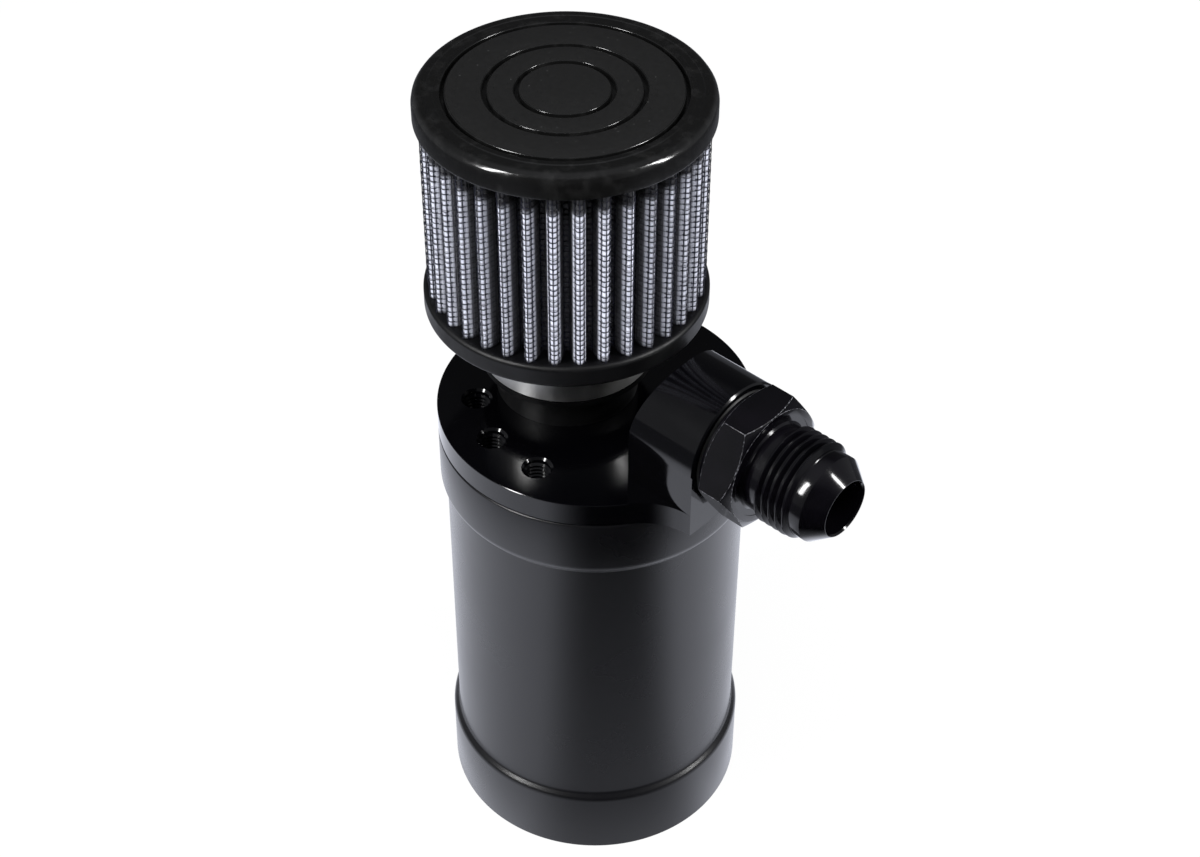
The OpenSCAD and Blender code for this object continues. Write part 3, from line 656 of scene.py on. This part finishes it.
# Zinc-plated steel: greyer and duller than the strip, with a spangle of about 1 mm.
screw_steel, tree, shader, place = principled("zinc_plated_steel", "a5a6a8", 0.32, metallic=1.0)
vary(tree, shader.inputs["Base Color"], place, 900.0, linear("8f9093"), linear("b9bbbd"))
vary(tree, shader.inputs["Roughness"], place, 500.0, 0.26, 0.42)
dress("clamp_screw", screw_steel)


# Pleated gauze. White cotton gauze folded into 35 pleats between two wire meshes, its
# crests bright, its folds darkened by painted shade, its ends stained by the rubber.
PLEATS = 35
WIRES_PER_PLEAT = 9
CREST_TOP = 30.1 * MM
CREST_BEND = 0.95 * MM
VALLEY_FLOOR = 25.5 * MM
VALLEY_BEND = 0.75 * MM
GAUZE_THICK = 0.45 * MM
GAUZE_SINK = 0.2 * MM   # from the mesh to the gauze's outer face
MESH_PITCH = 1.31 * MM
YARNS_PER_CELL = 3.7
POINTS_PER_PLEAT = 24
Z_STEPS = 30


def pleat_point(turns, sink=0.0):
    """A point of the pleats' outer face, by arc length: turns counts pleats. sink moves it inwards."""
    crest = round(turns)
    arc_crest = math.pi / 2 * CREST_BEND
    arc_valley = math.pi / 2 * VALLEY_BEND
    axis = crest * math.tau / PLEATS
    half = math.pi / PLEATS
    top = Vector((CREST_TOP - CREST_BEND, 0))
    bottom = Matrix.Rotation(half, 2) @ Vector((VALLEY_FLOOR + VALLEY_BEND, 0))
    flank_from = top + Vector((0, CREST_BEND))
    flank_to = bottom + Matrix.Rotation(half, 2) @ Vector((0, -VALLEY_BEND))
    flank = (flank_to - flank_from).length
    whole = arc_crest + flank + arc_valley
    side = 1 if turns >= crest else -1
    s = abs(turns - crest) * 2 * whole
    if s <= arc_crest:
        bend = s / CREST_BEND
        point = top + (CREST_BEND - sink) * Vector((math.cos(bend), math.sin(bend)))
    elif s <= arc_crest + flank:
        outward = (flank_to - flank_from).normalized()
        point = flank_from + outward * (s - arc_crest) - sink * Vector((-outward.y, outward.x))
    else:
        bend = (s - arc_crest - flank) / VALLEY_BEND
        local = Vector((-math.sin(bend), -math.cos(bend))) * (VALLEY_BEND + sink)
        point = bottom + Matrix.Rotation(half, 2) @ local
    return Matrix.Rotation(axis, 2) @ Vector((point.x, side * point.y))


gauze = bmesh.new()
uv_layer = gauze.loops.layers.uv.new("pleats")
along_layer = gauze.verts.layers.float.new("along")
ring = []
for i in range(PLEATS * POINTS_PER_PLEAT):
    x, y = pleat_point(i / POINTS_PER_PLEAT, GAUZE_SINK)
    vert = gauze.verts.new((FILTER_X + x, y, PLEAT_Z))
    vert[along_layer] = i * WIRES_PER_PLEAT / POINTS_PER_PLEAT
    ring.append(vert)
edges = [gauze.edges.new(pair) for pair in zip(ring, ring[1:] + ring[:1])]
for step in range(Z_STEPS):
    made = bmesh.ops.extrude_edge_only(gauze, edges=edges)["geom"]
    edges = [g for g in made if isinstance(g, bmesh.types.BMEdge)]
    bmesh.ops.translate(gauze, verts=[g for g in made if isinstance(g, bmesh.types.BMVert)],
                        vec=(0, 0, (CAP_Z - PLEAT_Z) / Z_STEPS))
bmesh.ops.recalc_face_normals(gauze, faces=gauze.faces)
on_axis = Vector((FILTER_X, 0, 0))
if sum((f.calc_center_median() - on_axis).dot(f.normal) for f in gauze.faces) < 0:
    bmesh.ops.reverse_faces(gauze, faces=gauze.faces)
for face in gauze.faces:
    most = max(loop.vert[along_layer] for loop in face.loops)
    for loop in face.loops:
        along = loop.vert[along_layer]
        if most - along > WIRES_PER_PLEAT:
            along += PLEATS * WIRES_PER_PLEAT
        loop[uv_layer].uv = (along, (loop.vert.co.z - PLEAT_Z) / MESH_PITCH)
bmesh.ops.solidify(gauze, geom=list(gauze.faces), thickness=GAUZE_THICK)

# Cotton gauze: bright and matt, a loose plain weave of 0.35 mm yarns, pressed into a
# pillow between the wires, darker along the wires by painted shade and some dirt, darker
# in its folds by painted shade, and darker where air has drawn dust in.
cotton, tree, shader, place = principled("pleated_cotton_gauze", "dcdfe8", 0.85)
uv = add(tree, "UVMap", uv_map="pleats").outputs["UV"]
cell = add(tree, "VectorMath", {0: uv}, operation="FRACTION").outputs[0]
centred = add(tree, "VectorMath", {0: cell, 1: (0.5, 0.5, 0.0)}, operation="SUBTRACT").outputs[0]
parts = add(tree, "SeparateXYZ", {0: centred})
across = add(tree, "Math", {0: parts.outputs["X"]}, operation="ABSOLUTE").outputs[0]
upright = add(tree, "Math", {0: parts.outputs["Y"]}, operation="ABSOLUTE").outputs[0]
nearest = add(tree, "Math", {0: across, 1: upright}, operation="MAXIMUM").outputs[0]
# Painted shade: the gauze darkens towards each wire, partly the wire's shade, partly dirt along it. The
# same mask shapes the pillow's bump.
wire_shade_and_pillow = add(tree, "MapRange", {"Value": nearest, "From Min": 0.30, "From Max": 0.5,
                                    "To Min": 1.0, "To Max": 0.35}).outputs["Result"]
# Painted shade in the folds: the gauze darkens the deeper it lies between two crests.
from_axis = add(tree, "VectorMath", {0: place, 1: (-FILTER_X, 0.0, 0.0)}, operation="ADD").outputs[0]
flat = add(tree, "VectorMath", {0: from_axis, 1: (1.0, 1.0, 0.0)}, operation="MULTIPLY").outputs[0]
radius = add(tree, "VectorMath", {0: flat}, operation="LENGTH").outputs["Value"]
depth = add(tree, "MapRange", {"Value": radius, "From Min": CREST_TOP - 2.3 * MM,
                               "From Max": CREST_TOP - 0.4 * MM, "To Min": 0.05, "To Max": 1.0},
            interpolation_type="SMOOTHSTEP")
height = add(tree, "SeparateXYZ", {0: place}).outputs["Z"]
ragged = add(tree, "TexNoise", {"Vector": place, "Scale": 260.0, "Detail": 3.0}).outputs["Fac"]
ragged_height = add(tree, "Math", {0: ragged, 1: 0.0022, 2: height}, operation="MULTIPLY_ADD").outputs[0]
stain_top = add(tree, "MapRange", {"Value": ragged_height, "From Min": CAP_Z - 3.9 * MM,
                                   "From Max": CAP_Z - 2.7 * MM, "To Min": 1.0, "To Max": 0.06})
stain_foot = add(tree, "MapRange", {"Value": ragged_height, "From Min": PLEAT_Z + 1.2 * MM,
                                    "From Max": PLEAT_Z + 2.0 * MM, "To Min": 0.2, "To Max": 1.0})
dust = add(tree, "TexNoise", {"Vector": place, "Scale": 500.0, "Detail": 5.0}).outputs["Fac"]
dusty = add(tree, "MapRange", {"Value": dust, "From Min": 0.3, "From Max": 0.65, "To Min": 0.72,
                               "To Max": 1.0})
# The gauze's colour: painted shade of the wires and folds, times the real stains at its ends and the dust.
shade = wire_shade_and_pillow
for other in (depth, stain_top, stain_foot, dusty):
    shade = add(tree, "Math", {0: shade, 1: other.outputs["Result"]}, operation="MULTIPLY").outputs[0]
cloth = add(tree, "Mix", {0: shade, 6: linear("08080b"), 7: linear("d2d5e4")}, data_type="RGBA")
tree.links.new(cloth.outputs[2], shader.inputs["Base Color"])
yarn_turn = math.tau * YARNS_PER_CELL
yarns = add(tree, "VectorMath", {0: uv, 1: (yarn_turn, yarn_turn, 0.0)}, operation="MULTIPLY").outputs[0]
yarns = add(tree, "VectorMath", {0: yarns}, operation="SINE").outputs[0]
yarn_parts = add(tree, "SeparateXYZ", {0: yarns})
weave = add(tree, "Math", {0: yarn_parts.outputs["X"], 1: yarn_parts.outputs["Y"]}, operation="MULTIPLY")
pillow = add(tree, "Math", {0: weave.outputs[0], 1: 0.12, 2: wire_shade_and_pillow}, operation="MULTIPLY_ADD")
relief(tree, shader, pillow.outputs[0], 0.00022)
piece("pleated_gauze", gauze, [cotton], "head", ["filter_gauze"], sharp=60)


# Wire mesh over the pleats. Square mesh of black-coated wire, 1.3 mm a cell, folded with
# the gauze. Round wires go round the filter and straight wires up its pleats, over and under.
WIRE = 0.105 * MM
WIRE_SWAY = 0.05 * MM
WIRE_DRIFT = 0.16 * MM


def wires(name, runs, cyclic):
    """One curve object of round wires, one for each list of points."""
    data = bpy.data.curves.new(name, "CURVE")
    data.dimensions = "3D"
    data.bevel_depth = WIRE
    data.bevel_resolution = 0
    data.use_fill_caps = not cyclic
    for points in runs:
        spline = data.splines.new("POLY")
        spline.points.add(len(points) - 1)
        for slot, point in zip(spline.points, points):
            slot.co = (*point, 1)
        spline.use_cyclic_u = cyclic
        spline.use_smooth = True
    made = bpy.data.objects.new(name, data)
    scene.collection.objects.link(made)
    return made


ROWS = round((CAP_Z - PLEAT_Z) / MESH_PITCH)
chance = random.Random(7)
drift = [(chance.uniform(0, math.tau), chance.uniform(3, 9), chance.uniform(0, math.tau))
         for row in range(ROWS)]
round_wires = []
for row in range(1, ROWS):
    z = PLEAT_Z + row * MESH_PITCH
    points = []
    for i in range(PLEATS * WIRES_PER_PLEAT * 2):
        sway = WIRE_SWAY * (1 if (i // 2 + row) % 2 else -1) if i % 2 == 0 else 0
        x, y = pleat_point(i / (WIRES_PER_PLEAT * 2), -sway)
        phase, waves, second = drift[row]
        turn = i / (PLEATS * WIRES_PER_PLEAT * 2) * math.tau
        wander = math.sin(phase + round(waves) * turn) + 0.6 * math.sin(second + round(3 * waves) * turn)
        points.append((FILTER_X + x, y, z + WIRE_DRIFT * wander))
    round_wires.append(points)
straight_wires = []
for i in range(PLEATS * WIRES_PER_PLEAT):
    points = []
    for row in range(ROWS + 1):
        sway = WIRE_SWAY * (-1 if (i + row) % 2 else 1)
        x, y = pleat_point(i / WIRES_PER_PLEAT, -sway)
        points.append((FILTER_X + x, y, min(CAP_Z, PLEAT_Z + row * MESH_PITCH)))
    straight_wires.append(points)
# Epoxy-coated wire: black, smooth, with a small sheen where the coat is thick.
wire_black, tree, shader, place = principled("black_coated_wire", "0b0c14", 0.4)
vary(tree, shader.inputs["Roughness"], place, 900.0, 0.3, 0.5)
vary(tree, shader.inputs["Base Color"], place, 700.0, linear("08090f"), linear("1a1c2c"))
for name, runs, cyclic in (("round_wires", round_wires, True), ("straight_wires", straight_wires, False)):
    made = wires(name, runs, cyclic)
    made.data.materials.append(wire_black)
    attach(made, "head")
    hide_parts("filter_mesh")
dress("filter_inner_mesh", wire_black)


# Cage. A tube of perforated plated sheet that stands hidden inside the pleats, cast in at
# both ends, and keeps them from folding in.
# Plated perforated sheet: dull bright metal with 3 mm holes, drawn as dark dots of painted shade.
cage_sheet, tree, shader, place = principled("perforated_plated_sheet", "9a9b9c", 0.4, metallic=1.0)
holes = add(tree, "TexVoronoi", {"Vector": place, "Scale": 220.0, "Randomness": 0.0}).outputs["Distance"]
# Painted shade: the holes are dark dots, standing for the dark seen through them.
painted_hole_shade = add(tree, "MapRange", {"Value": holes, "From Min": 0.30, "From Max": 0.34})
mixed = add(tree, "Mix", {0: painted_hole_shade.outputs["Result"], 6: linear("060606"), 7: linear("9a9b9c")},
            data_type="RGBA")
tree.links.new(mixed.outputs[2], shader.inputs["Base Color"])
vary(tree, shader.inputs["Roughness"], place, 300.0, 0.32, 0.5)
dress("filter_cage", cage_sheet)


# Cap. A moulded rubber ring cast over the pleats' upper ends, glossy from its mould, with
# a faint step round its top. A separate disc with two ring grooves is set into it.
CAP_RADIUS = (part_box("filter_cap")[1].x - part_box("filter_cap")[0].x) / 2
CAP_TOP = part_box("filter_cap")[1].z
DISC_LOW, DISC_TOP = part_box("filter_plate")[0].z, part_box("filter_plate")[1].z
DISC_RADIUS = (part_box("filter_plate")[1].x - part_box("filter_plate")[0].x) / 2
CAP_BORE = 22.9 * MM
CAP_ROUND = 2.0 * MM
STEP_ROUND = 0.1 * MM
STEP_FLOOR = CAP_TOP - 0.14 * MM
STEP_INSIDE = CAP_TOP - 0.02 * MM
RECESS_RADIUS = DISC_RADIUS + 0.55 * MM
DISC_EDGE = DISC_RADIUS - 0.3 * MM
GROOVES = (9.95 * MM, 16.5 * MM)
GROOVE_HALF = 0.36 * MM
GROOVE_MOUTH = GROOVE_HALF + 0.18 * MM
GROOVE_ROUND = 0.2 * MM
GROOVE_FLOOR = DISC_TOP - 1.1 * MM

ring = turned(rounded([
    (CAP_Z, CAP_BORE, 0),
    (CAP_Z, CAP_RADIUS - 0.6 * MM, 0.4 * MM),
    (CAP_Z + 0.5 * MM, CAP_RADIUS, 0.2 * MM),
    (CAP_TOP, CAP_RADIUS, CAP_ROUND),
    (CAP_TOP, CAP_RADIUS - 2.9 * MM, STEP_ROUND),
    (STEP_FLOOR, CAP_RADIUS - 3.1 * MM, STEP_ROUND),
    (STEP_FLOOR, CAP_RADIUS - 4.4 * MM, STEP_ROUND),
    (STEP_INSIDE, CAP_RADIUS - 4.7 * MM, STEP_ROUND),
    (STEP_INSIDE, RECESS_RADIUS, 0.2 * MM),
    (DISC_LOW, RECESS_RADIUS, 0),
    (DISC_LOW, CAP_BORE, 0),
]), 144)
bmesh.ops.translate(ring, verts=ring.verts, vec=(FILTER_X, 0, 0))
profile = [(DISC_LOW, 0, 0), (DISC_LOW, DISC_EDGE, 0), (DISC_TOP, DISC_EDGE, 0.3 * MM)]
for middle in reversed(GROOVES):
    profile += [
        (DISC_TOP, middle + GROOVE_MOUTH, GROOVE_ROUND),
        (GROOVE_FLOOR, middle + GROOVE_HALF, 0),
        (GROOVE_FLOOR, middle - GROOVE_HALF, 0),
        (DISC_TOP, middle - GROOVE_MOUTH, GROOVE_ROUND),
    ]
disc = turned(rounded(profile + [(DISC_TOP, 0, 0)]), 144)
bmesh.ops.translate(disc, verts=disc.verts, vec=(FILTER_X, 0, 0))

# Gloss moulded rubber: deep black, faintly wavy from its mould, with patches of grey mould powder.
cap_rubber, tree, shader, place = principled("gloss_moulded_rubber", "050506", 0.16, ior=1.45)
vary(tree, shader.inputs["Roughness"], place, 700.0, 0.11, 0.20)
vary(tree, shader.inputs["Base Color"], place, 350.0, linear("0a0a0a"), linear("151515"), span=(0.5, 0.75))
waves = add(tree, "TexNoise", {"Vector": place, "Scale": 90.0, "Detail": 5.0})
relief(tree, shader, waves.outputs["Fac"], 0.00005)
piece("cap_ring", ring, [cap_rubber], "head", ["filter_cap"], sharp=35)
# Semi-gloss moulded disc: dark grey-black with specks of dust about 0.3 mm across.
disc_black, tree, shader, place = principled("semi_gloss_moulded_disc", "111111", 0.36, ior=1.42)
specks = add(tree, "TexVoronoi", {"Vector": place, "Scale": 420.0, "Randomness": 1.0}).outputs["Distance"]
speck = add(tree, "MapRange", {"Value": specks, "From Min": 0.04, "From Max": 0.08})
mixed = add(tree, "Mix", {0: speck.outputs["Result"], 6: linear("303030"), 7: linear("111111")},
            data_type="RGBA")
tree.links.new(mixed.outputs[2], shader.inputs["Base Color"])
vary(tree, shader.inputs["Roughness"], place, 900.0, 0.3, 0.42)
ripple = add(tree, "TexNoise", {"Vector": place, "Scale": 900.0, "Detail": 4.0})
relief(tree, shader, ripple.outputs["Fac"], 0.000012)
for face in disc.faces:
    if face.calc_center_median().z < DISC_TOP - 0.001 * MM:
        face.material_index = 1
piece("cap_disc", disc, [disc_black, cap_rubber], "head", ["filter_plate"], sharp=35)


# Baffle. Hidden in the can under the lid: three aluminium posts, a drilled plate that
# keeps the oil down, its three screws, a pad of wire wool and the screen on top of it.
# Plain machined aluminium: silvery, with tool lines about 0.4 mm apart.
plain_aluminium, tree, shader, place = principled("machined_aluminium", "b4b5b6", 0.3, metallic=1.0)
tool = add(tree, "TexWave", {"Vector": place, "Scale": 800.0, "Distortion": 1.0}, wave_type="RINGS",
           rings_direction="Z")
relief(tree, shader, tool.outputs["Fac"], 0.000004)
vary(tree, shader.inputs["Roughness"], place, 250.0, 0.24, 0.38)
for name in ("baffle_posts", "baffle_plate", "pad_screen"):
    dress(name, plain_aluminium)
# Black-oxide screws: dark, slightly blue steel.
oxide, tree, shader, place = principled("black_oxide_steel", "2a2b2e", 0.4, metallic=1.0)
vary(tree, shader.inputs["Roughness"], place, 600.0, 0.32, 0.5)
dress("baffle_screws", oxide)
# Stainless wire wool: a dense tangle of fine bright wire, darker in its depth by painted shade.
wool, tree, shader, place = principled("stainless_wire_wool", "8c8d8f", 0.4, metallic=1.0)
tangle = add(tree, "TexNoise", {"Vector": place, "Scale": 900.0, "Detail": 6.0, "Distortion": 3.0})
tangle = tangle.outputs["Fac"]
# Painted shade: the tangle darkens where the noise, which is also its bump, is low.
depth = add(tree, "MapRange", {"Value": tangle, "From Min": 0.4, "From Max": 0.6})
mixed = add(tree, "Mix", {0: depth.outputs["Result"], 6: linear("2c2c2e"), 7: linear("b8babc")},
            data_type="RGBA")
tree.links.new(mixed.outputs[2], shader.inputs["Base Color"])
relief(tree, shader, tangle, 0.0006)
dress("baffle_pad", wool)
